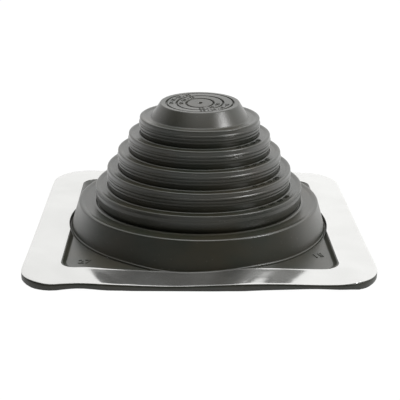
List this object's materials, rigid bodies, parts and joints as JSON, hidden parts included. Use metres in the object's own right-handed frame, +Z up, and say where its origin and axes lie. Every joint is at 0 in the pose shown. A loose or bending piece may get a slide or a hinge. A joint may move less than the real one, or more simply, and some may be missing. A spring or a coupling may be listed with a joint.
{
  "type": "pipe flashing boot",
  "caption": "Stepped rubber pipe boot, closed at the top and open below, on a square base sheet with a soft aluminium flange bonded round its rim.",
  "frame": {"origin": "on the axis of the cone, at the underside of the base sheet", "axes": "+Z up along the cone's axis from the roof towards the closed top, -Y towards the viewer of the front, +X to the viewer's right"},
  "size_m": [0.2032, 0.2032, 0.0828],
  "materials": {
    "rubber": "dark grey moulded rubber with a soft satin skin",
    "flange_metal": "bright mill-finish soft aluminium sheet"
  },
  "bodies": {
    "root": {"rubber_boot": "rubber", "aluminium_flange": "flange_metal"}
  },
  "joints": []
}
